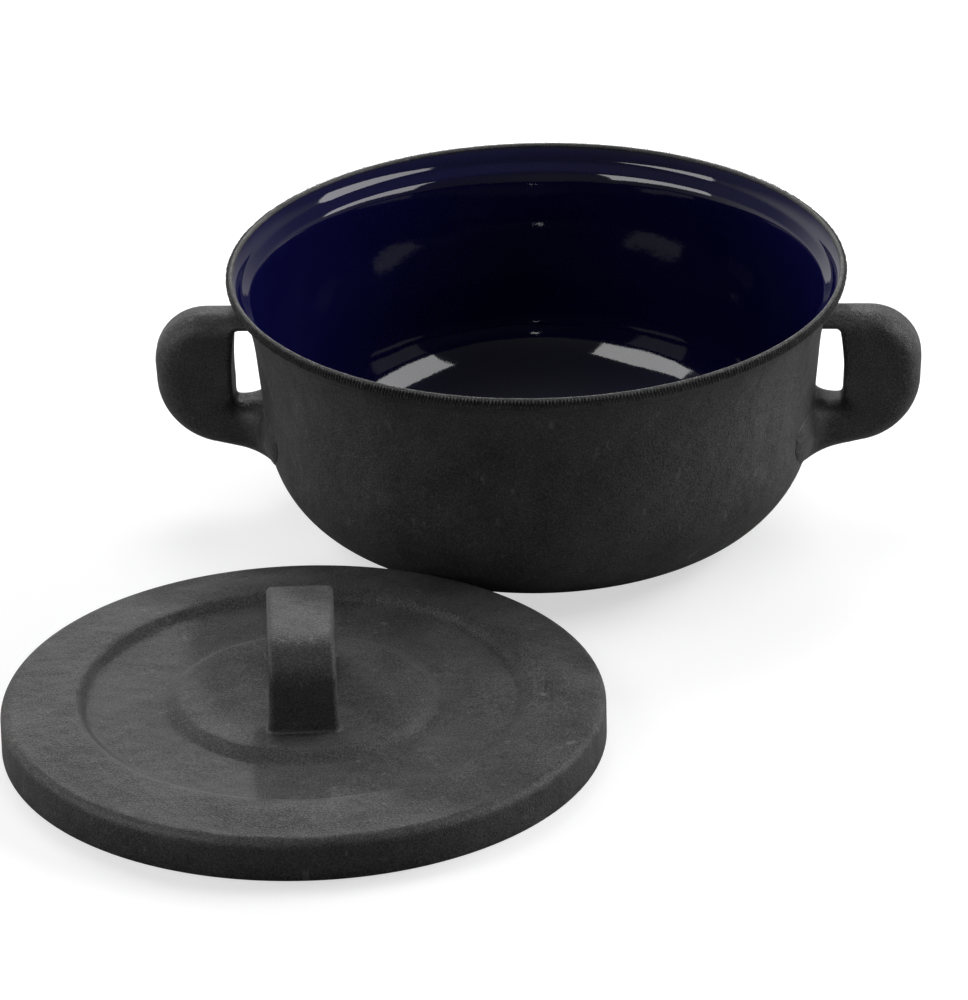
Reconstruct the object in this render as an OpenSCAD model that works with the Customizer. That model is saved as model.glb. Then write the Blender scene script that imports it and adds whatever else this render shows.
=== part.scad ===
// Low two-handled cooking pot in enamelled steel, with its lift-off lid lying beside it.
// Millimetres, +Z up. The origin is on the pot's axis, where the axis meets the floor.

/* [Pot] */
// Outer diameter of the rolled rim
rim_d = 240; // [200:1:300]
// Height of the pot from the floor to the top of the rim
pot_h = 103; // [85:1:150]
// Radius of the rounded heel between base and wall
heel_r = 40; // [25:1:50]
// How far the wall's foot stands in from the edge of the rim
wall_inset = 14.2; // [8:0.1:24]
// How far the wall stands in from the edge of the rim where its flare begins
waist_inset = 10.7; // [9:0.1:14]
// Height at which the wall begins to flare, below the top of the rim
waist_drop = 31; // [24:1:40]
// How far the shoulder under the rim stands in from the edge of the rim
shoulder_inset = 6.4; // [5.5:0.1:8]
// Depth of the shoulder below the top of the rim
shoulder_drop = 10.7; // [9.5:0.1:14]
// Height of the upright lip above the shoulder's neck
lip_h = 5; // [4:0.1:6]
// Thickness of the steel with its outer enamel
wall_t = 1.9; // [1.5:0.1:2.5]
// Thickness of the blue enamel lining
lining_t = 0.7; // [0.5:0.1:1]
// Radius of the rolled bead of the rim
bead_r = 1.4; // [1.2:0.1:1.8]

/* [Lid seat] */
// Depth of the seat's outer edge below the top of the rim
seat_drop = 6.3; // [5.5:0.1:8]
// Width of the sloping seat
seat_w = 3.8; // [3:0.1:5]
// Fall of the sloping seat
seat_fall = 3.2; // [2.5:0.1:4]
// Inward lean of the collar above the seat
collar_lean = 3; // [2:0.1:3.5]
// Gap between the lid's edge and the collar
lid_gap = 1.8; // [1.2:0.1:2.2]

/* [Pot handles] */
// How far each handle stands out beyond the rim
handle_reach = 28.5; // [24:0.1:40]
// Thickness of the grip, measured outwards
grip_t = 30.5; // [26:0.5:36]
// Width of the grip along the rim
grip_w = 22; // [16:1:28]
// Height of the handle
handle_h = 59; // [52:1:66]
// Height of the top of the handle below the top of the rim
handle_drop = 18.2; // [14:0.2:26]
// Height of the lower arm
lower_arm_h = 22.5; // [16:0.5:27]
// Thickness of the upper arm
upper_arm_t = 5; // [4:0.5:8]
// Width of the upper arm
upper_arm_w = 17; // [12:1:22]
// Half the angle that the lower arm's foot spreads along the wall
foot_angle = 18; // [14:1:24]

/* [Lid] */
// Height of the lid's turned-down edge
lid_edge_h = 16.5; // [11:0.5:19]
// Radius of the rounding between the lid's edge and its top
lid_edge_r = 4; // [3:0.5:7]
// Rise of the outer band of the lid above its edge
lid_band_rise = 2; // [1:0.5:4]
// Inner diameter of the outer band
lid_band_d = 164; // [150:1:170]
// Depth of the channel below the top of the outer band
lid_channel_drop = 3; // [2:0.5:4]
// Diameter of the raised disc in the middle
lid_disc_d = 98; // [90:1:110]
// Height of the raised disc above the channel
lid_disc_rise = 3.4; // [2:0.2:5]
// Width of each step between the levels
lid_step_w = 7; // [4:0.5:10]
// Thickness of the lid's steel
lid_t = 1.6; // [1.2:0.1:2.2]

/* [Lid handle] */
// Length of the strap handle over its two legs
strap_l = 66; // [56:1:76]
// Height of the strap handle above the disc
strap_h = 33; // [26:1:38]
// Width of the strap
strap_w = 27; // [20:0.5:30]
// Thickness of the strap
strap_t = 6.5; // [5:0.5:8]
// Radius of the strap's bends, on the outside
strap_bend_r = 15; // [12:0.5:18]
// Radius of the strap's rounded edges
strap_edge_r = 2.4; // [1:0.1:2.4]

/* [Where the lid lies] */
// Direction of the lid from the pot's axis, in degrees from +X
lid_direction = -113; // [-130:1:-90]
// Clear gap between the lid's edge and the pot's heel
lid_clearance = 1; // [0.5:0.5:20]
// Turn of the lid about its own axis, in degrees
lid_turn = 4; // [-20:1:20]

/* [Hidden] */

round_fn = 180;
blob_fn = 32;
arc_steps = 12;
flare_steps = 4;
edge_steps = 4;
bead_fn = 48;

iron_black = "#2b2b2c";
enamel_blue = "#0a0b45";

// Pot
rim_r = rim_d / 2;
base_flat_r = rim_r - wall_inset - heel_r;
heel_centre = [base_flat_r, heel_r];
shoulder = [rim_r - shoulder_inset, pot_h - shoulder_drop];
waist = [rim_r - waist_inset, pot_h - waist_drop];
bead_centre = [rim_r - bead_r, pot_h - bead_r];
bead_proud = 0.5;
lip_foot = [rim_r - bead_proud, pot_h - lip_h];

// Lid seat, measured on the enamel
seat_outer = [rim_r - 2 * bead_r - collar_lean, pot_h - seat_drop];
seat_inner = seat_outer - [seat_w, seat_fall];
collar_top = [rim_r - 2 * bead_r, pot_h - bead_r];
floor_z = wall_t + lining_t;
skin_t = wall_t + lining_t;

// Lid
lid_r = seat_outer[0] - lid_gap;
lid_edge_top = [lid_r - lid_edge_r, lid_edge_h];
lid_band_r = lid_band_d / 2;
lid_band_z = lid_edge_h + lid_band_rise;
lid_channel_z = lid_band_z - lid_channel_drop;
lid_disc_r = lid_disc_d / 2;
lid_disc_z = lid_channel_z + lid_disc_rise;
lid_inner_r = lid_r - lid_t - lining_t;
lid_foot_clear = 2;

// The lid's rounded edge and the pot's rounded heel are two arcs that nearly touch
arc_gap = heel_r + lid_edge_r + lid_clearance;
arc_rise = heel_r - (lid_edge_h - lid_edge_r);
lid_distance = lid_r - lid_edge_r + base_flat_r + sqrt(arc_gap * arc_gap - arc_rise * arc_rise);
lid_place = [lid_distance * cos(lid_direction), lid_distance * sin(lid_direction), 0];

// Points of a circular arc, from one angle to the other
function arc(centre, radius, from, to, steps = arc_steps) =
    [for (i = [0:steps]) let (a = from + (to - from) * i / steps)
        centre + radius * [cos(a), sin(a)]];

// Lean of the straight wall that touches a heel arc and ends at a point above it
function wall_lean(radius, end) =
    let (v = end - heel_centre) acos(radius / norm(v)) - atan2(v[1], v[0]);

// Points of a gentle curve from a to c that starts out along a wall with this lean
function flare(a, c, lean) =
    let (b = a + (c - a)[1] / 2 * [tan(lean), 1])
    [for (i = [1:flare_steps]) let (t = i / flare_steps)
        (1 - t) * (1 - t) * a + 2 * t * (1 - t) * b + t * t * c];

// A list of points the other way round
function reversed(points) = [for (i = [len(points) - 1:-1:0]) points[i]];

// Outline of the pot's outside, from the axis to the middle of the rim's bead
function pot_outside() =
    concat([[0, 0]],
           arc(heel_centre, heel_r, -90, -wall_lean(heel_r, waist)),
           [waist],
           flare(waist, shoulder, wall_lean(heel_r, waist)),
           [lip_foot, [lip_foot[0], bead_centre[1]], [0, bead_centre[1]]]);

// Outline of the cavity, from the axis to the collar; grow pushes it into the wall
function pot_cavity(grow) =
    let (radius = heel_r - skin_t + grow,
         start = waist - [skin_t - grow, 0],
         end = seat_inner + [grow, -grow / 2],
         lean = wall_lean(radius, start))
    concat([[0, floor_z - grow]],
           arc(heel_centre, radius, -90, -lean),
           [start],
           flare(start, end, lean),
           [seat_outer + [grow, -grow / 2], collar_top + [grow, 0]]);

module pot_solid() {
    rotate_extrude($fn = round_fn) polygon(pot_outside());
}

module pot_body() {
    color(iron_black) rotate_extrude($fn = round_fn) {
        difference() {
            union() {
                polygon(pot_outside());
                translate(bead_centre) circle(r = bead_r, $fn = bead_fn);
            }
            polygon(concat(pot_cavity(lining_t), [[0, collar_top[1]]]));
        }
    }
}

module pot_lining() {
    color(enamel_blue) rotate_extrude($fn = round_fn) {
        polygon(concat(pot_cavity(lining_t), reversed(pot_cavity(0))));
    }
}

// Handle
handle_out = rim_r + handle_reach;
grip_in = handle_out - grip_t;
handle_top = pot_h - handle_drop;
handle_bottom = handle_top - handle_h;
top_corner_r = 17;
low_corner_r = 27.5;
low_corner_in = 0.5;
low_corner_up = 4;
edge_r = 9;
inner_edge_r = 4.7;
upper_arm_z = handle_top - upper_arm_t / 2;
lower_arm_z = handle_bottom + lower_arm_h / 2;
top_corner = [handle_out - top_corner_r, handle_top - top_corner_r];
low_corner = [handle_out - low_corner_in - low_corner_r,
              handle_bottom + low_corner_up + low_corner_r];
hole_top = handle_top - upper_arm_t;
hole_bottom = handle_bottom + lower_arm_h;
wall_r = rim_r - wall_inset;
foot_r = 5;
foot_rise = 13;

// A soft lump: a ball drawn out to its half sizes
module lump(place, half) {
    translate(place) scale(half) sphere(r = 1, $fn = blob_fn);
}

module grip() {
    hull() {
        for (a = [0, 45, 90]) {
            offset_r = top_corner_r - edge_r;
            lump([top_corner[0] + offset_r * cos(a), 0, top_corner[1] + offset_r * sin(a)],
                 [edge_r, grip_w / 2, edge_r]);
        }
        for (a = [0, -26, -52, -78]) {
            offset_r = low_corner_r - edge_r;
            lump([low_corner[0] + offset_r * cos(a), 0, low_corner[1] + offset_r * sin(a)],
                 [edge_r, grip_w / 2, edge_r]);
        }
        for (z = [hole_top - inner_edge_r, hole_bottom + inner_edge_r]) {
            lump([grip_in + inner_edge_r, 0, z], [inner_edge_r, grip_w / 2 - 1.5, inner_edge_r]);
        }
    }
}

module upper_arm() {
    hull() {
        for (x = [wall_r, top_corner[0]]) {
            lump([x, 0, upper_arm_z], [edge_r, upper_arm_w / 2, upper_arm_t / 2]);
        }
    }
}

module lower_arm() {
    hull() {
        lump([wall_r - edge_r, 0, lower_arm_z], [edge_r, grip_w / 2, lower_arm_h / 2]);
        lump([low_corner[0] + low_corner_up, 0, lower_arm_z + low_corner_up / 2],
             [edge_r, grip_w / 2, (lower_arm_h - low_corner_up) / 2]);
    }
}

// The lower arm's foot spreads along the wall and rises a little on each side
module spread_foot() {
    hull() {
        lump([wall_r, 0, lower_arm_z], [foot_r, grip_w / 2 - 1, lower_arm_h / 2 - 1]);
        for (a = [-foot_angle, foot_angle]) {
            rotate(a) lump([wall_r - 1, 0, lower_arm_z + foot_rise], [foot_r, foot_r, foot_r + 2]);
        }
    }
}

module handle() {
    color(iron_black) difference() {
        union() {
            grip();
            upper_arm();
            lower_arm();
            spread_foot();
        }
        pot_solid();
    }
}

module right_handle() {
    handle();
}

module left_handle() {
    mirror([1, 0, 0]) handle();
}

// Outline of the lid's top, from the axis to the foot of its edge; drop sinks it into the steel
function lid_top(drop) =
    concat([[0, lid_disc_z - drop],
            [lid_disc_r - lid_step_w / 2, lid_disc_z - drop],
            [lid_disc_r + lid_step_w / 2, lid_channel_z - drop],
            [lid_band_r - lid_step_w / 2, lid_channel_z - drop],
            [lid_band_r + lid_step_w / 2, lid_band_z - drop]],
           arc(lid_edge_top - [0, lid_edge_r], max(lid_edge_r - drop, 0.5), 90, 0));

module lid_shape(outer_drop, inner_drop, foot_z) {
    rotate_extrude($fn = round_fn) {
        polygon(concat(lid_top(outer_drop), [[lid_r - outer_drop, foot_z],
                                             [lid_r - inner_drop, foot_z]],
                       reversed(lid_top(inner_drop))));
    }
}

module lid_body() {
    color(iron_black) translate(lid_place) lid_shape(0, lid_t, 0);
}

module lid_lining() {
    color(enamel_blue) translate(lid_place) lid_shape(lid_t, lid_t + lining_t, lid_foot_clear);
}

// Section of the strap, with its width across and its outer face at zero
module strap_section() {
    half = strap_w / 2 - strap_edge_r;
    outer = -strap_edge_r;
    inner = strap_edge_r - strap_t;
    polygon(concat(arc([outer, half], strap_edge_r, 0, 90, edge_steps),
                   arc([inner, half], strap_edge_r, 90, 180, edge_steps),
                   arc([inner, -half], strap_edge_r, 180, 270, edge_steps),
                   arc([outer, -half], strap_edge_r, 270, 360, edge_steps)));
}

// One leg of the strap with its bend
module strap_half() {
    bend_in = strap_l / 2 - strap_bend_r;
    translate([strap_l / 2, 0, 0]) linear_extrude(strap_h - strap_bend_r) strap_section();
    translate([bend_in, 0, strap_h - strap_bend_r]) rotate([90, 0, 0]) {
        rotate_extrude(angle = 90, $fn = round_fn) {
            translate([strap_bend_r, 0]) strap_section();
        }
    }
    translate([0, 0, strap_h]) rotate([0, 90, 0]) {
        rotate([0, 0, 180]) linear_extrude(bend_in) strap_section();
    }
}

module lid_handle() {
    color(iron_black) translate(lid_place + [0, 0, lid_disc_z]) rotate([0, 0, 90 + lid_turn]) {
        strap_half();
        rotate([0, 0, 180]) strap_half();
    }
}

pot_body();
pot_lining();
right_handle();
left_handle();
lid_body();
lid_lining();
lid_handle();
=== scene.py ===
import math

import bpy
import numpy as np
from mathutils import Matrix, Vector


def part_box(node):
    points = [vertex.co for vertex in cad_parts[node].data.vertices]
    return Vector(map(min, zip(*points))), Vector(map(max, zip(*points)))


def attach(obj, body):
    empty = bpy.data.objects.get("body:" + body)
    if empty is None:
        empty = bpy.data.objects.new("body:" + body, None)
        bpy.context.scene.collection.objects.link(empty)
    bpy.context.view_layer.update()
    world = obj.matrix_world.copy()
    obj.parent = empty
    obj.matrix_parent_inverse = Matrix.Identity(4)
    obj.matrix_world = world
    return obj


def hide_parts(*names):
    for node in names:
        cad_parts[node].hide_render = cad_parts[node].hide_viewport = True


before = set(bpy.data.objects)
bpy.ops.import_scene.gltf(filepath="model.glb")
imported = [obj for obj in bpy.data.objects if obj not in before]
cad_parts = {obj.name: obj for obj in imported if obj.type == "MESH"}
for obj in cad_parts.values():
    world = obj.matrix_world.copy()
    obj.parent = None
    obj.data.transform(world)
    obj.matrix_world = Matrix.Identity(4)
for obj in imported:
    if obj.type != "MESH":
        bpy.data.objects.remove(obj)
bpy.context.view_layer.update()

import openvdb
from mathutils import Matrix, Vector

# Sizes are in millimetres, as in the part's source, and become metres where a mesh is made
MM = 0.001

# ---------------------------------------------------------------- sizes from the frame

_, pot_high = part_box("pot_body")
lid_low, lid_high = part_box("lid_body")
_, strap_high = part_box("lid_handle")
grip_low, grip_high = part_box("right_handle")

rim_r = pot_high[0] / MM
pot_h = pot_high[2] / MM
lid_r = (lid_high[0] - lid_low[0]) / 2 / MM
lid_x = (lid_high[0] + lid_low[0]) / 2 / MM
lid_y = (lid_high[1] + lid_low[1]) / 2 / MM
disc_z = lid_high[2] / MM
strap_h = strap_high[2] / MM - disc_z
handle_out = grip_high[0] / MM
handle_top = grip_high[2] / MM
handle_low = grip_low[2] / MM

# ---------------------------------------------------------------- sizes of the pot

wall_t = 1.9
lining_t = 0.7
heel_r = 40.0
base_flat_r = rim_r - 14.2 - heel_r
base_steps = 10

# Points of the wall as (radius, height)
waist = (rim_r - 10.7, pot_h - 31.0)
shoulder = (rim_r - 6.4, pot_h - 10.7)
neck_pull = (shoulder[0] + 0.4, shoulder[1] + 2.8)
neck_top = (rim_r - 1.7, pot_h - 4.8)

# Rim: a bead with ribs standing proud of it, a collar inside it and a seat for the lid
rib_proud = 1.1
bead_r = 0.95
bead_centre = (rim_r - rib_proud - bead_r, pot_h - bead_r)
collar_r = rim_r - 2.8
seat_outer = (collar_r - 3.0, pot_h - 6.3)
seat_inner = (seat_outer[0] - 3.8, seat_outer[1] - 3.2)
# Share of each side that the seat's corners round off
seat_soft = 0.16
# From the seat's inner edge to the cavity's wall, as (in, down)
seat_lip = (0.8, 2.8)

pot_segments = 384

# ---------------------------------------------------------------- sizes of the pot's handles

# Outer outline of an ear in the upright plane, and the roundness of its edges
handle_half_w = 11.0
edge_round = 8.8
inner_edge = 1.6
top_corner_r = 20.0
low_corner_r = 28.0
low_corner_z = handle_low + 31.6
arm_low = (90.0, handle_low - 4.0)
# The outline runs over by this much, as the soft edges take it back
grip_over = 0.4

# Slot between the ear and the wall, cut from inside the pot outwards; its edges are rounder
# towards its foot
slot_start = 60.0
slot_in = handle_out - 30.5
slot_low = handle_low + 21.0
slot_high = handle_top - 4.6
slot_corner = 2.0
slot_bow = 0.7
slot_lean = 0.6
slot_round = 2.4
slot_round_low = 6.2
slot_round_z = 5.0

# The ear's foot spreads over the wall as a low swelling, outlined as (along the wall, height)
wing_outline = [(0, 24), (12, 25.5), (24, 29.5), (33, 35), (37, 40), (37.5, 45), (35, 49.5),
                (30, 51.5), (22, 50.5), (11, 46.5), (0, 44)]
# Height of the swelling, width of its slope, power of the slope's curve, fillet to the ear
wing_rise = 3.4
wing_soft = 19.0
wing_power = 0.8
wing_weld = 8.5
# Radius at which lengths along the wall are laid out
wing_wall_r = rim_r * 0.885
wing_slope = 0.8
# Depth to which the ear reaches into the wall
foot_sunk = 0.6

# Corners of the room for the field of the right ear
ear_low = (88, -52, 14)
ear_high = (153, 52, 90)
ear_voxel = 0.8

# ---------------------------------------------------------------- sizes of the lid

lid_edge_h = 16.5
lid_edge_r = 4.0
lid_inner_r = 0.6
lid_band_z = 18.5
lid_channel_z = 15.5
lid_band_r = 82.0
lid_disc_r = 49.0
lid_step_w = 5.0
lid_fall_share = 0.9
lid_t = 1.6
# Height at which the lining ends above the floor
lid_foot_clear = 2.0
foot_round = 0.7

lid_top_points = 70
lid_edge_steps = 14
lid_segments = 384
lid_lining_segments = 256

# ---------------------------------------------------------------- sizes of the lid's handle

strap_half_l = 33.0
strap_half_w = 13.5
strap_t = 6.5
strap_bend = 15.0
strap_edge = 2.4
strap_turn = math.radians(4)
# The strap is narrower than at its feet by this much, within about this height
strap_waist = 1.1
strap_waist_z = 7.0
# Depth to which its outline runs on below the lid, where the weld cuts it off
strap_below = 20.0
weld_r = 2.2
weld_reach = 4.0
weld_low = 0.35
weld_sunk = 1.2

# Room for the field: across, along, below the lid's top and above the strap
strap_room = (24, 42, 3, 2)
strap_voxel = 0.6

# ---------------------------------------------------------------- sizes of the rim's ribs

# Two rings of ribs, each with a radius and a height, and ribs as (height, depth)
rib_count = 560
rib_w = 0.72
upper_ring = (rim_r - 0.95, pot_h - 1.4)
upper_rib = (2.5, 1.8)
lower_ring = (rim_r - 1.2, pot_h - 3.2)
lower_rib = (2.0, 1.3)

# ---------------------------------------------------------------- outlines


def arc(centre, radius, start, end, steps):
    """Points of an arc in the (radius, height) plane, angles in degrees."""
    angles = np.radians(np.linspace(start, end, steps + 1))
    return [(centre[0] + radius * math.cos(a), centre[1] + radius * math.sin(a)) for a in angles]


def curve(a, b, c, steps):
    """Points of a gentle curve from a to c, pulled towards b, without a itself."""
    points = []
    for i in range(1, steps + 1):
        t = i / steps
        points.append(tuple((1 - t) ** 2 * p + 2 * t * (1 - t) * q + t * t * r
                            for p, q, r in zip(a, b, c)))
    return points


def line(a, b, steps):
    """Evenly spaced points from a to b, without a itself."""
    return [(a[0] + (b[0] - a[0]) * i / steps, a[1] + (b[1] - a[1]) * i / steps)
            for i in range(1, steps + 1)]


def between(a, b, share):
    """The point a share of the way from a to b."""
    return (a[0] + (b[0] - a[0]) * share, a[1] + (b[1] - a[1]) * share)


# ---------------------------------------------------------------- meshes

# Radius below which an outline's end counts as lying on the axis
ON_AXIS = 1e-6

# Voxels kept on each side of a field's surface
FIELD_BAND = 4
# Passes that draw a field's points onto its surface
PULL_PASSES = 3
# Step over which the field's slope is measured
PULL_STEP = 0.05
# Least square of the slope, so that a flat spot gives no long move
PULL_SLOPE = 0.05
# Longest move of a pass, in voxels
PULL_MOVE = 0.6
# Shortest length that is divided by
TINY = 1e-9


def solid(name, points, faces):
    """A closed mesh object in metres, with its faces pointing outwards."""
    mesh = bpy.data.meshes.new(name)
    mesh.from_pydata((np.asarray(points, dtype=float) * MM).tolist(), [], faces)
    mesh.validate()
    mesh.update()
    mesh.calc_loop_triangles()
    corners = np.empty(len(mesh.vertices) * 3)
    mesh.vertices.foreach_get("co", corners)
    corners = corners.reshape(-1, 3)
    triangles = np.empty(len(mesh.loop_triangles) * 3, dtype=int)
    mesh.loop_triangles.foreach_get("vertices", triangles)
    a, b, c = (corners[triangles.reshape(-1, 3)[:, i]] for i in range(3))
    if np.einsum("ij,ij->i", a, np.cross(b, c)).sum() < 0:
        mesh.flip_normals()
    mesh.shade_smooth()
    piece = bpy.data.objects.new(name, mesh)
    bpy.context.collection.objects.link(piece)
    return piece


def turned(name, outline, segments, centre=(0.0, 0.0), wobble=None):
    """A round body turned from an outline that starts and ends on the axis or is a loop."""
    outline = np.asarray(outline, dtype=float)
    angles = np.linspace(0, 2 * math.pi, segments, endpoint=False)
    closed = outline[0][0] > ON_AXIS
    rings = outline if closed else outline[1:-1]
    radius = rings[:, 0][:, None] * np.ones(segments)
    height = rings[:, 1][:, None] * np.ones(segments)
    if wobble is not None:
        radius, height = wobble(radius, height, angles[None, :] * np.ones_like(radius))
    x = centre[0] + radius * np.cos(angles)
    y = centre[1] + radius * np.sin(angles)
    points = np.stack([x, y, height], axis=-1).reshape(-1, 3).tolist()
    count = len(rings)
    spokes = [(spoke, (spoke + 1) % segments) for spoke in range(segments)]
    faces = []
    for ring in range(count if closed else count - 1):
        here, after = ring * segments, (ring + 1) % count * segments
        faces += [(here + a, here + b, after + b, after + a) for a, b in spokes]
    if not closed:
        for end, ring in ((0, 0), (-1, count - 1)):
            pole, here = len(points), ring * segments
            points.append([*centre, outline[end][1]])
            fan = [(pole, here + b, here + a) for a, b in spokes]
            faces += fan if end == 0 else [face[::-1] for face in fan]
    return solid(name, points, faces)


def from_field(name, field, low, high, voxel):
    """The surface where a field of (x, y, z) is zero, with the inside negative."""
    counts = [int(math.ceil((h - l) / voxel)) + 1 for l, h in zip(low, high)]
    axes = [l + voxel * np.arange(n) for l, n in zip(low, counts)]
    x, y, z = np.meshgrid(*axes, indexing="ij")
    values = field(x, y, z).astype(np.float32)
    band = voxel * FIELD_BAND
    grid = openvdb.FloatGrid(float(band))
    grid.copyFromArray(np.clip(values, -band, band))
    points, quads = grid.convertToQuads(0.0)
    points = points.astype(float) * voxel + np.array(low)
    for _ in range(PULL_PASSES):
        here = field(*points.T)
        slope = np.stack([(field(*(points + move).T) - field(*(points - move).T))
                          / (2 * PULL_STEP) for move in PULL_STEP * np.eye(3)], axis=-1)
        size = np.maximum((slope ** 2).sum(axis=1), PULL_SLOPE)
        pull = slope * (here / size)[:, None]
        length = np.maximum(np.linalg.norm(pull, axis=1), TINY)
        points -= pull * np.minimum(1, voxel * PULL_MOVE / length)[:, None]
    return solid(name, points, quads.tolist())


def mirrored(name, source):
    """A copy of a piece on the other side of the pot."""
    points = np.empty(len(source.data.vertices) * 3)
    source.data.vertices.foreach_get("co", points)
    points = points.reshape(-1, 3) * (-1, 1, 1) / MM
    faces = [tuple(face.vertices)[::-1] for face in source.data.polygons]
    return solid(name, points, faces)


# ---------------------------------------------------------------- fields


def eased(value, length):
    """A share that grows from 0 to 1 over a length."""
    return np.clip(value / length, 0, 1)


def soft_step(value):
    """A soft step from 0 to 1."""
    value = np.clip(value, 0, 1)
    return value * value * (3 - 2 * value)


def ripples(waves, angle, along):
    """A sum of waves, each a depth, a count round the body, a slant per mm and a start."""
    return sum(depth * np.sin(count * angle + along * slant + start)
               for depth, count, slant, start in waves)


def outline_distance(px, pz, corners):
    """Distance to a closed outline in a plane, negative inside."""
    far, level = 1e9, 1e-12
    corners = np.asarray(corners, dtype=float)
    best = np.full(px.shape, far)
    inside = np.zeros(px.shape, dtype=bool)
    for (ax, az), (bx, bz) in zip(corners, np.roll(corners, -1, axis=0)):
        ex, ez = bx - ax, bz - az
        t = np.clip(((px - ax) * ex + (pz - az) * ez) / max(ex * ex + ez * ez, level), 0, 1)
        best = np.minimum(best, np.hypot(px - ax - t * ex, pz - az - t * ez))
        if abs(ez) > level:
            inside ^= ((az > pz) != (bz > pz)) & (px < ax + ex * (pz - az) / ez)
    return np.where(inside, -best, best)


def corner_distance(a, b):
    """Distance to the corner of two sides that are a and b away, negative inside."""
    return np.hypot(np.maximum(a, 0), np.maximum(b, 0)) + np.minimum(np.maximum(a, b), 0)


def rounded_box(px, pz, centre, half, radius):
    """Distance to a rectangle with rounded corners."""
    return corner_distance(np.abs(px - centre[0]) - half[0] + radius,
                           np.abs(pz - centre[1]) - half[1] + radius) - radius


def padded(distance, across, half_width, edge):
    """A flat outline given a thickness with rounded edges."""
    return corner_distance(distance + edge, np.abs(across) - (half_width - edge)) - edge


def blend(a, b, k):
    """Union of two fields with a fillet of about k."""
    h = np.clip(0.5 + 0.5 * (b - a) / k, 0, 1)
    return b + (a - b) * h - k * h * (1 - h)


def common(a, b, k):
    """Intersection of two fields with a rounded edge of about k."""
    return -blend(-a, -b, k)


# ---------------------------------------------------------------- pot


def wall_lean(radius, end):
    """Angle at which a straight wall leaves the heel's arc towards a point above it."""
    dx, dz = end[0] - base_flat_r, end[1] - heel_r
    return math.degrees(math.atan2(dz, dx) - math.acos(radius / math.hypot(dx, dz)))


def wall_outline(inset, bottom_z, end):
    """Base, heel, wall and flare, from the axis up to a point near the rim."""
    radius = heel_r - inset
    top = (waist[0] - inset, waist[1])
    lean = wall_lean(radius, top)
    base = line((0, bottom_z), (base_flat_r, bottom_z), base_steps)[:-1]
    heel = arc((base_flat_r, heel_r), radius, start=-90, end=lean, steps=26)
    rise = (end[1] - top[1]) / 2
    knee = (top[0] - rise * math.tan(math.radians(lean)), top[1] + rise)
    return ([(0, bottom_z)] + base + heel + line(heel[-1], top, steps=8)
            + curve(top, knee, end, steps=8))


def liner_edge(inset):
    """Collar and seat, from the rim's bead down to the top of the cavity's wall."""
    collar = (collar_r + inset, pot_h - bead_r)
    outer = (seat_outer[0] + inset, seat_outer[1] - inset / 2)
    inner = (seat_inner[0] + inset, seat_inner[1] - inset / 2)
    above = between(outer, collar, seat_soft)
    upper = between(outer, inner, seat_soft)
    lower = between(inner, outer, seat_soft)
    low = (inner[0] - seat_lip[0], inner[1] - seat_lip[1])
    return ([collar, above] + curve(above, outer, upper, steps=5) + line(upper, lower, steps=6)
            + curve(lower, inner, low, steps=6)), low


def cavity(inset):
    """The cavity's whole outline, from the collar down to the axis."""
    edge, low = liner_edge(inset)
    thickness = wall_t + lining_t - inset
    return edge + wall_outline(thickness, thickness, low)[::-1][1:]


def pot_wobble(radius, height, angle):
    """The pressed wall is never quite true, but its rim, foot and middle are."""
    push = ripples(((0.10, 3, 0.0, 0.7), (0.07, 7, 0.06, 0.0)), angle, height)
    rim_clear, rim_fade, foot_fade, middle_fade = 12, 15, 25, 60
    fade = eased(height, foot_fade) * eased(pot_h - rim_clear - height, rim_fade)
    return radius + push * fade * eased(radius, middle_fade), height


outside = wall_outline(0, 0, shoulder)
neck = curve(shoulder, neck_pull, neck_top, steps=8)
bead = arc(bead_centre, bead_r, start=-50, end=215, steps=26)
pot_shell = turned("pot_shell", outside + neck + bead + cavity(lining_t), pot_segments,
                   wobble=pot_wobble)
liner = turned("pot_glaze", cavity(lining_t)[::-1] + cavity(0), pot_segments,
               wobble=pot_wobble)

# ---------------------------------------------------------------- pot handles

grip_top = handle_top + grip_over
top_corner = (handle_out - top_corner_r, grip_top - top_corner_r)
low_corner = (handle_out - grip_over - low_corner_r, low_corner_z)
grip_outline = (arc(top_corner, top_corner_r, start=90, end=0, steps=12)
                + arc(low_corner, low_corner_r, start=-4, end=-80, steps=16)
                + [arm_low, (arm_low[0], grip_top)])

slot_foot = slot_low + slot_corner
slot_head = slot_high - slot_corner
slot_top_in = slot_in - slot_lean
slot_mid = (slot_in + 2 * slot_bow, (slot_low + slot_high) / 2)
slot_outline = ([(slot_start, slot_low)]
                + arc((slot_in - slot_corner, slot_foot), slot_corner, -90, 0, steps=6)
                + curve((slot_in, slot_foot), slot_mid, (slot_top_in, slot_head), steps=8)
                + arc((slot_top_in - slot_corner, slot_head), slot_corner, 0, 90, steps=6)[1:]
                + [(slot_start, slot_high)])

wing_loop = wing_outline + [(-s, z) for s, z in wing_outline[::-1][1:-1]]
# Without the flat base, so that the heights only grow
wall_points = np.asarray(outside)[base_steps + 1:]


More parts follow.
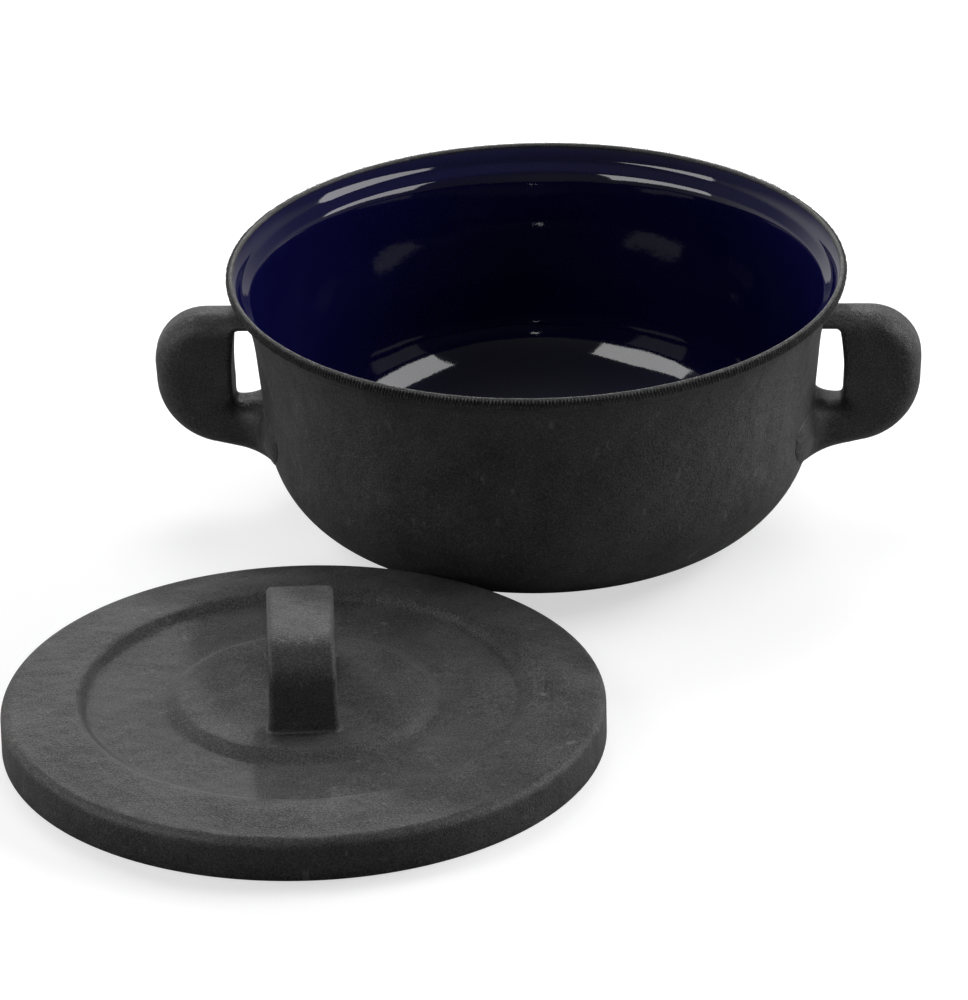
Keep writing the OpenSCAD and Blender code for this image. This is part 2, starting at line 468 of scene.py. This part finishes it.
def handle_field(x, y, z):
    """One ear: a padded loop in the upright plane whose foot spreads along the wall."""
    loop = padded(outline_distance(x, z, grip_outline), y, handle_half_w, edge_round)
    slot = outline_distance(x, z, slot_outline)
    slot_edge = slot_round + slot_round_low * eased(slot_low + slot_round_z - z, slot_round_z)
    ear = common(loop, padded(-slot, y, handle_half_w, slot_edge), inner_edge)
    above = np.hypot(x, y) - np.interp(z, wall_points[:, 1], wall_points[:, 0])
    along = wing_wall_r * np.arctan2(y, x)
    reach = -outline_distance(along, z, wing_loop)
    full = eased(reach, wing_soft)
    rise = np.where(reach > 0, wing_rise * (full * (2 - full)) ** wing_power, reach)
    wing = (above - rise) * wing_slope
    return np.maximum(blend(ear, wing, wing_weld), -(above + foot_sunk))


ear_right = from_field("ear_right", handle_field, ear_low, ear_high, ear_voxel)
ear_left = mirrored("ear_left", ear_right)

# ---------------------------------------------------------------- lid


def lid_step(radius, middle):
    """One of the lid's ring steps, centred on a radius."""
    return soft_step((radius - middle) / lid_step_w + 0.5)


def lid_height(radius):
    """Height of the lid's top at each radius, inside its rounded edge."""
    disc = 1 - lid_step(radius, lid_disc_r)
    band = lid_step(radius, lid_band_r)
    fall_from = radius - lid_band_r - lid_step_w
    fall_over = lid_r - lid_edge_r - lid_band_r - lid_step_w
    fall = (lid_band_z - lid_edge_h) * soft_step(fall_from / fall_over * lid_fall_share)
    return (lid_channel_z + (disc_z - lid_channel_z) * disc
            + (lid_band_z - lid_channel_z) * band - fall)


def lid_outline(sink, foot_z):
    """Top and edge of the lid, from the axis to the foot of its edge."""
    flat = np.linspace(0, lid_r - lid_edge_r, lid_top_points)
    top = [(r, float(lid_height(r)) - sink) for r in flat[:-1]]
    turn = arc((lid_r - lid_edge_r, lid_edge_h - lid_edge_r),
               max(lid_edge_r - sink, lid_inner_r), start=90, end=0, steps=lid_edge_steps)
    drop = float(lid_height(flat[-1])) - lid_edge_h
    edge = [(r, z + drop * (1 - i / lid_edge_steps)) for i, (r, z) in enumerate(turn)]
    return top + edge + line(edge[-1], (edge[-1][0], foot_z), steps=5)


def lid_wobble(radius, height, angle):
    """Faint ripples of the pressed sheet, which leave its middle and edge true."""
    ripple = ripples(((0.10, 5, 0.11, 0.0), (0.08, 9, -0.17, 1.0)), angle, radius)
    edge_clear, edge_fade, middle_fade = 8, 15, 40
    fade = eased(radius, middle_fade) * eased(lid_r - edge_clear - radius, edge_fade)
    return radius, height + ripple * fade


lid_foot = (arc((lid_r - foot_round, foot_round), foot_round, 0, -90, steps=5)[1:]
            + arc((lid_r - lid_t + foot_round, foot_round), foot_round, -90, -180, steps=5))
lid_shell = turned("lid_shell", lid_outline(0, foot_round) + lid_foot
                   + lid_outline(lid_t, foot_round)[::-1][1:],
                   lid_segments, (lid_x, lid_y), lid_wobble)
lid_glaze = turned("lid_glaze", lid_outline(lid_t, lid_foot_clear)
                   + lid_outline(lid_t + lining_t, lid_foot_clear)[::-1],
                   lid_lining_segments, (lid_x, lid_y), lid_wobble)

# ---------------------------------------------------------------- lid handle


def strap_side(along, up, inset, corner):
    """One side of the bent strap in its upright plane, run on below the lid's top."""
    top = strap_h - inset
    return rounded_box(along, up, (0, (top - strap_below) / 2),
                       (strap_half_l - inset, (top + strap_below) / 2), corner)


def strap_field(x, y, z):
    """A bent strap with soft edges whose two feet are blended into the lid."""
    dx, dy = x - lid_x, y - lid_y
    along = -math.sin(strap_turn) * dx + math.cos(strap_turn) * dy
    across = math.cos(strap_turn) * dx + math.sin(strap_turn) * dy
    up = z - disc_z
    bow = np.maximum(strap_side(along, up, 0, strap_bend),
                     -strap_side(along, up, strap_t, strap_bend - strap_t))
    waist_in = strap_waist * (1 - np.exp(-np.maximum(up, 0) / strap_waist_z))
    strap_body = padded(bow, across * (1 + waist_in / strap_half_w), strap_half_w, strap_edge)
    weld = np.maximum(up + weld_low, strap_body - weld_reach)
    return np.maximum(blend(strap_body, weld, weld_r), -(up + weld_sunk))


strap = from_field("lid_strap", strap_field,
                   (lid_x - strap_room[0], lid_y - strap_room[1], disc_z - strap_room[2]),
                   (lid_x + strap_room[0], lid_y + strap_room[1],
                    disc_z + strap_h + strap_room[3]),
                   strap_voxel)

# ---------------------------------------------------------------- nodes


def feed(tree, socket, value):
    """Fill an input with another node's output or with a constant."""
    if isinstance(value, bpy.types.NodeSocket):
        tree.links.new(value, socket)
    else:
        socket.default_value = value


def node(tree, kind, **values):
    """A new node with its settings and named inputs filled in."""
    made = tree.nodes.new(kind)
    for key, value in values.items():
        if hasattr(made, key):
            setattr(made, key, value)
        else:
            feed(tree, made.inputs[key.replace("_", " ")], value)
    return made


def joined(tree, kind, *values, **settings):
    """The output of a new node whose inputs are filled in by their order."""
    made = node(tree, kind, **settings)
    for socket, value in zip(made.inputs, values):
        feed(tree, socket, value)
    return made.outputs[0]


def mapped(tree, value, **settings):
    """A value mapped from one range to another."""
    return node(tree, "ShaderNodeMapRange", Value=value, **settings).outputs["Result"]


# ---------------------------------------------------------------- knurled edge of the rim

RIB_INPUTS = (
    ("Ribs", "NodeSocketInt", 540),
    ("Ring radius", "NodeSocketFloat", 0.1),
    ("Ring height", "NodeSocketFloat", 0.1),
    ("Rib width", "NodeSocketFloat", 0.001),
    ("Rib height", "NodeSocketFloat", 0.002),
    ("Rib depth", "NodeSocketFloat", 0.001),
    ("Start angle", "NodeSocketFloat", 0.0),
    ("Seed", "NodeSocketInt", 4),
)


def knurl_tree(finish):
    """Small upright ribs set round a circle, with a little scatter in size."""
    tree = bpy.data.node_groups.new("rim_knurl", "GeometryNodeTree")
    tree.is_modifier = True
    face = tree.interface
    for name, kind, start in RIB_INPUTS:
        face.new_socket(name, in_out="INPUT", socket_type=kind).default_value = start
    face.new_socket("Geometry", in_out="OUTPUT", socket_type="NodeSocketGeometry")
    given = tree.nodes.new("NodeGroupInput").outputs

    ring = node(tree, "GeometryNodeMeshCircle", Vertices=given["Ribs"],
                Radius=given["Ring radius"])
    lift = node(tree, "ShaderNodeCombineXYZ", Z=given["Ring height"])
    start = node(tree, "ShaderNodeCombineXYZ", Z=given["Start angle"])
    raised = node(tree, "GeometryNodeTransform", Geometry=ring.outputs["Mesh"],
                  Translation=lift.outputs["Vector"], Rotation=start.outputs["Vector"])

    where = node(tree, "GeometryNodeInputPosition")
    parts = node(tree, "ShaderNodeSeparateXYZ", Vector=where.outputs["Position"]).outputs
    angle = joined(tree, "ShaderNodeMath", parts["Y"], parts["X"], operation="ARCTAN2")
    spin = node(tree, "ShaderNodeCombineXYZ", Z=angle)

    ball = node(tree, "GeometryNodeMeshIcoSphere", Subdivisions=2, Radius=0.5)
    size = node(tree, "ShaderNodeCombineXYZ", X=given["Rib depth"], Y=given["Rib width"],
                Z=given["Rib height"])
    scatter = node(tree, "FunctionNodeRandomValue", data_type="FLOAT", Min=0.82, Max=1.08,
                   Seed=given["Seed"])
    scaled = node(tree, "ShaderNodeVectorMath", operation="SCALE",
                  Vector=size.outputs["Vector"], Scale=scatter.outputs["Value"])

    ribs = node(tree, "GeometryNodeInstanceOnPoints", Points=raised.outputs["Geometry"],
                Instance=ball.outputs["Mesh"], Rotation=spin.outputs["Vector"],
                Scale=scaled.outputs["Vector"])
    real = node(tree, "GeometryNodeRealizeInstances", Geometry=ribs.outputs["Instances"])
    dress = node(tree, "GeometryNodeSetMaterial", Geometry=real.outputs["Geometry"],
                 Material=finish)
    node(tree, "NodeGroupOutput", Geometry=dress.outputs["Geometry"])
    return tree


def grown(name, tree, **sizes):
    """The plain mesh that a Geometry Nodes tree makes."""
    carrier = bpy.data.objects.new(name + "_seed", bpy.data.meshes.new(name + "_seed"))
    bpy.context.collection.objects.link(carrier)
    modifier = carrier.modifiers.new("grow", "NODES")
    modifier.node_group = tree
    sockets = {item.name: item.identifier for item in tree.interface.items_tree
               if item.item_type == "SOCKET" and item.in_out == "INPUT"}
    for key, value in sizes.items():
        modifier[sockets[key.replace("_", " ")]] = value
    depsgraph = bpy.context.evaluated_depsgraph_get()
    mesh = bpy.data.meshes.new_from_object(carrier.evaluated_get(depsgraph))
    mesh.name = name
    carrier.modifiers.clear()
    bpy.data.objects.remove(carrier)
    mesh.shade_smooth()
    piece = bpy.data.objects.new(name, mesh)
    bpy.context.collection.objects.link(piece)
    return piece


# ---------------------------------------------------------------- finishes


def blank_material(name):
    """A new material and its empty node tree."""
    material = bpy.data.materials.new(name)
    material.use_nodes = True
    material.node_tree.nodes.clear()
    return material, material.node_tree


def enamel(name, colours, roughness, grain, dents, scuff_share, reflection):
    """Fired enamel: a cloudy colour with pale scuffs, over a fine grain and slow dents.

    Colours and roughness are a low and a high end, grain and dents a size and a depth in metres.
    """
    material, tree = blank_material(name)
    place = node(tree, "ShaderNodeTexCoord").outputs["Object"]

    def noise(scale, detail, falloff, where=place):
        made = node(tree, "ShaderNodeTexNoise", Vector=where, Scale=scale, Detail=detail,
                    Roughness=falloff)
        return made.outputs["Fac"]

    def bump(height, depth, **under):
        made = node(tree, "ShaderNodeBump", Strength=1.0, Distance=depth, Height=height, **under)
        return made.outputs["Normal"]

    clouds = noise(scale=38.0, detail=6.0, falloff=0.62)
    flecks = noise(scale=1500.0, detail=2.0, falloff=0.6)
    cloud_share, fleck_share = 0.35, 0.9
    cloudy = joined(tree, "ShaderNodeMath", clouds, cloud_share, operation="MULTIPLY")
    drawn_out = node(tree, "ShaderNodeMapping", Vector=place, Scale=(1.0, 1.0, 0.4),
                     Rotation=(0.5, 0.3, 0.0)).outputs["Vector"]
    scuffs = noise(scale=300.0, detail=3.0, falloff=0.5, where=drawn_out)
    rubbed = mapped(tree, scuffs, From_Min=0.67, From_Max=0.8, To_Max=scuff_share)
    worn = joined(tree, "ShaderNodeMath", cloudy, rubbed, operation="ADD")
    mix = joined(tree, "ShaderNodeMath", flecks, fleck_share, worn, operation="MULTIPLY_ADD")
    ramp = node(tree, "ShaderNodeValToRGB", Fac=mix)
    low_end, high_end = 0.5, 0.86
    for stop, position, colour in zip(ramp.color_ramp.elements, (low_end, high_end), colours):
        stop.position = position
        stop.color = (*colour, 1)
    gloss = mapped(tree, clouds, To_Min=roughness[0], To_Max=roughness[1])

    (grain_size, grain_depth), (dent_size, dent_depth) = grain, dents
    slow = bump(noise(scale=1.0 / dent_size, detail=2.0, falloff=0.5), dent_depth)
    fine = bump(noise(scale=1.0 / grain_size, detail=4.0, falloff=0.55), grain_depth,
                Normal=slow)
    shader = node(tree, "ShaderNodeBsdfPrincipled", Base_Color=ramp.outputs["Color"],
                  Roughness=gloss, Specular_IOR_Level=reflection, Normal=fine)
    node(tree, "ShaderNodeOutputMaterial", Surface=shader.outputs["BSDF"])
    return material


black = enamel("charcoal_enamel", colours=((0.03, 0.03, 0.0305), (0.13, 0.13, 0.128)),
               roughness=(0.42, 0.56), grain=(0.0007, 0.0003), dents=(0.014, 0.0016),
               scuff_share=0.45, reflection=0.28)
blue = enamel("cobalt_enamel", colours=((0.0025, 0.0022, 0.028), (0.005, 0.005, 0.046)),
              roughness=(0.045, 0.07), grain=(0.004, 0.00002), dents=(0.05, 0.0006),
              scuff_share=0.0, reflection=0.5)

rib_tree = knurl_tree(black)
upper_ribs = grown("rim_ribs_upper", rib_tree, Ribs=rib_count,
                   Ring_radius=upper_ring[0] * MM, Ring_height=upper_ring[1] * MM,
                   Rib_width=rib_w * MM, Rib_height=upper_rib[0] * MM,
                   Rib_depth=upper_rib[1] * MM, Seed=4)
lower_ribs = grown("rim_ribs_lower", rib_tree, Ribs=rib_count,
                   Ring_radius=lower_ring[0] * MM, Ring_height=lower_ring[1] * MM,
                   Rib_width=rib_w * MM, Rib_height=lower_rib[0] * MM,
                   Rib_depth=lower_rib[1] * MM, Start_angle=math.pi / rib_count, Seed=9)

# ---------------------------------------------------------------- bodies and finishes

PIECES = (
    (pot_shell, "pot", ("pot_body",), "outer_enamel", black),
    (upper_ribs, "pot", (), "outer_enamel", black),
    (lower_ribs, "pot", (), "outer_enamel", black),
    (liner, "pot", ("pot_lining",), "inner_enamel", blue),
    (ear_right, "pot", ("right_handle",), "outer_enamel", black),
    (ear_left, "pot", ("left_handle",), "outer_enamel", black),
    (lid_shell, "lid", ("lid_body",), "outer_enamel", black),
    (lid_glaze, "lid", ("lid_lining",), "inner_enamel", blue),
    (strap, "lid", ("lid_handle",), "outer_enamel", black),
)
for piece, body, nodes, slot, finish in PIECES:
    if not piece.data.materials:
        piece.data.materials.append(finish)
    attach(piece, body)
    if nodes:
        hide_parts(*nodes)

# ---------------------------------------------------------------- floor and room


def floor_finish():
    """Pale floor that keeps the shadows and looks white to the camera."""
    material, tree = blank_material("pale_floor")
    rays = node(tree, "ShaderNodeLightPath")
    lit_grey, seen_grey = (0.3, 0.3, 0.3, 1), (0.5, 0.5, 0.5, 1)
    plain = node(tree, "ShaderNodeBsdfDiffuse", Color=lit_grey)
    seen = node(tree, "ShaderNodeBsdfDiffuse", Color=seen_grey)
    glow = node(tree, "ShaderNodeEmission", Strength=0.6)
    lit = joined(tree, "ShaderNodeAddShader", seen.outputs["BSDF"], glow.outputs["Emission"])
    pick = joined(tree, "ShaderNodeMixShader", rays.outputs["Is Camera Ray"],
                  plain.outputs["BSDF"], lit)
    node(tree, "ShaderNodeOutputMaterial", Surface=pick)
    return material


def studio(name):
    """A room that darkens overhead, towards the front and to the right, white to the camera."""
    world = bpy.data.worlds.new(name)
    world.use_nodes = True
    tree = world.node_tree
    tree.nodes.clear()
    way = node(tree, "ShaderNodeTexCoord")
    axes = node(tree, "ShaderNodeSeparateXYZ", Vector=way.outputs["Generated"]).outputs

    def soft(axis, start, end, at_start, at_end):
        return mapped(tree, axes[axis], interpolation_type="SMOOTHSTEP", From_Min=start,
                      From_Max=end, To_Min=at_start, To_Max=at_end)

    overhead = soft("Z", start=0.2, end=0.62, at_start=1.0, at_end=0.14)
    front = soft("Y", start=-0.7, end=0.3, at_start=0.1, at_end=1.0)
    side = soft("X", start=-0.1, end=0.55, at_start=1.0, at_end=0.35)
    least = 0.12
    dim = joined(tree, "ShaderNodeMath", overhead, front, operation="MULTIPLY")
    strength = joined(tree, "ShaderNodeMath", dim, side, least, operation="MULTIPLY_ADD")
    room = node(tree, "ShaderNodeBackground", Strength=strength)
    white = node(tree, "ShaderNodeBackground", Strength=1.0)
    rays = node(tree, "ShaderNodeLightPath")
    pick = joined(tree, "ShaderNodeMixShader", rays.outputs["Is Camera Ray"],
                  room.outputs["Background"], white.outputs["Background"])
    node(tree, "ShaderNodeOutputWorld", Surface=pick)
    return world


floor_half = 6.0
floor_mesh = bpy.data.meshes.new("floor")
floor_mesh.from_pydata([(-floor_half, -floor_half, 0), (floor_half, -floor_half, 0),
                        (floor_half, floor_half, 0), (-floor_half, floor_half, 0)],
                       [], [(0, 1, 2, 3)])
floor_piece = bpy.data.objects.new("floor", floor_mesh)
bpy.context.collection.objects.link(floor_piece)
floor_piece.data.materials.append(floor_finish())
bpy.context.scene.world = studio("studio")

# ---------------------------------------------------------------- lights

# Point inside the pot that every softbox faces, in metres
LIGHTS_AIM = (0, 0, 0.08)


def around(bearing, height, reach):
    """A point at a bearing from the back towards the right, a height angle and a distance."""
    bearing, height = math.radians(bearing), math.radians(height)
    return (reach * math.cos(height) * math.sin(bearing),
            reach * math.cos(height) * math.cos(bearing), reach * math.sin(height))


def softbox(name, place, width, height, power):
    """A rectangular softbox that faces the pot."""
    lamp = bpy.data.lights.new(name, "AREA")
    lamp.shape = "RECTANGLE"
    lamp.size = width
    lamp.size_y = height
    lamp.energy = power
    light = bpy.data.objects.new(name, lamp)
    bpy.context.collection.objects.link(light)
    light.location = place
    aim = Vector(LIGHTS_AIM) - Vector(place)
    light.rotation_euler = aim.to_track_quat("-Z", "Y").to_euler()
    return light


# Name, bearing, height angle, distance, width, height and power. The first lamps show in
# reflections alone, the others in diffuse light alone.
GLOSS_ONLY = (("right_box", 105, 31, 1.3, 1.0, 0.66, 11.0),
              ("left_box", -128, 30, 1.3, 1.0, 0.54, 9.5),
              ("back_glint", -3, 34, 1.3, 0.08, 0.06, 3.5))
LIGHT_ONLY = (("key_box", 66, 33, 1.2, 0.9, 0.45, 15),
              ("top_box", -10, 62, 1.2, 0.6, 0.5, 5),
              ("back_box", -42, 20, 1.5, 0.7, 0.4, 12),
              ("left_fill", -88, 40, 1.4, 0.6, 0.6, 3.5))
for name, bearing, rise, reach, width, height, power in GLOSS_ONLY:
    softbox(name, around(bearing, rise, reach), width, height, power).visible_diffuse = False
for name, bearing, rise, reach, width, height, power in LIGHT_ONLY:
    softbox(name, around(bearing, rise, reach), width, height, power).visible_glossy = False

# ---------------------------------------------------------------- camera

# It looks down on the pot from the front, from well back. Lengths are in metres, apart from
# the sensor's in millimetres.
focal_px = 9000.0
image_px = 1000.0
zoom = 0.985
sensor = 36.0
view_end = 50
distance = 3.464
height_angle = math.radians(26.20)
pan = math.radians(-0.41)
tilt = math.radians(26.15)
roll = math.radians(-1.36)
swing = math.radians(2.3)

camera_data = bpy.data.cameras.new("camera")
camera_data.sensor_width = sensor
camera_data.lens = sensor * focal_px * zoom / image_px
camera_data.clip_end = view_end
camera = bpy.data.objects.new("camera", camera_data)
bpy.context.collection.objects.link(camera)
forward = Vector((math.sin(pan) * math.cos(tilt), math.cos(pan) * math.cos(tilt),
                  -math.sin(tilt)))
level = Vector((math.cos(pan), -math.sin(pan), 0))
upright = level.cross(forward)
right = level * math.cos(roll) + upright * math.sin(roll)
top = upright * math.cos(roll) - level * math.sin(roll)
turn = Matrix((right, top, -forward)).transposed()
stand = Matrix.Translation((0, -distance * math.cos(height_angle),
                            distance * math.sin(height_angle)))
camera.matrix_world = Matrix.Rotation(swing, 4, "Z") @ stand @ turn.to_4x4()
bpy.context.scene.camera = camera
bpy.context.scene.view_settings.view_transform = "Standard"
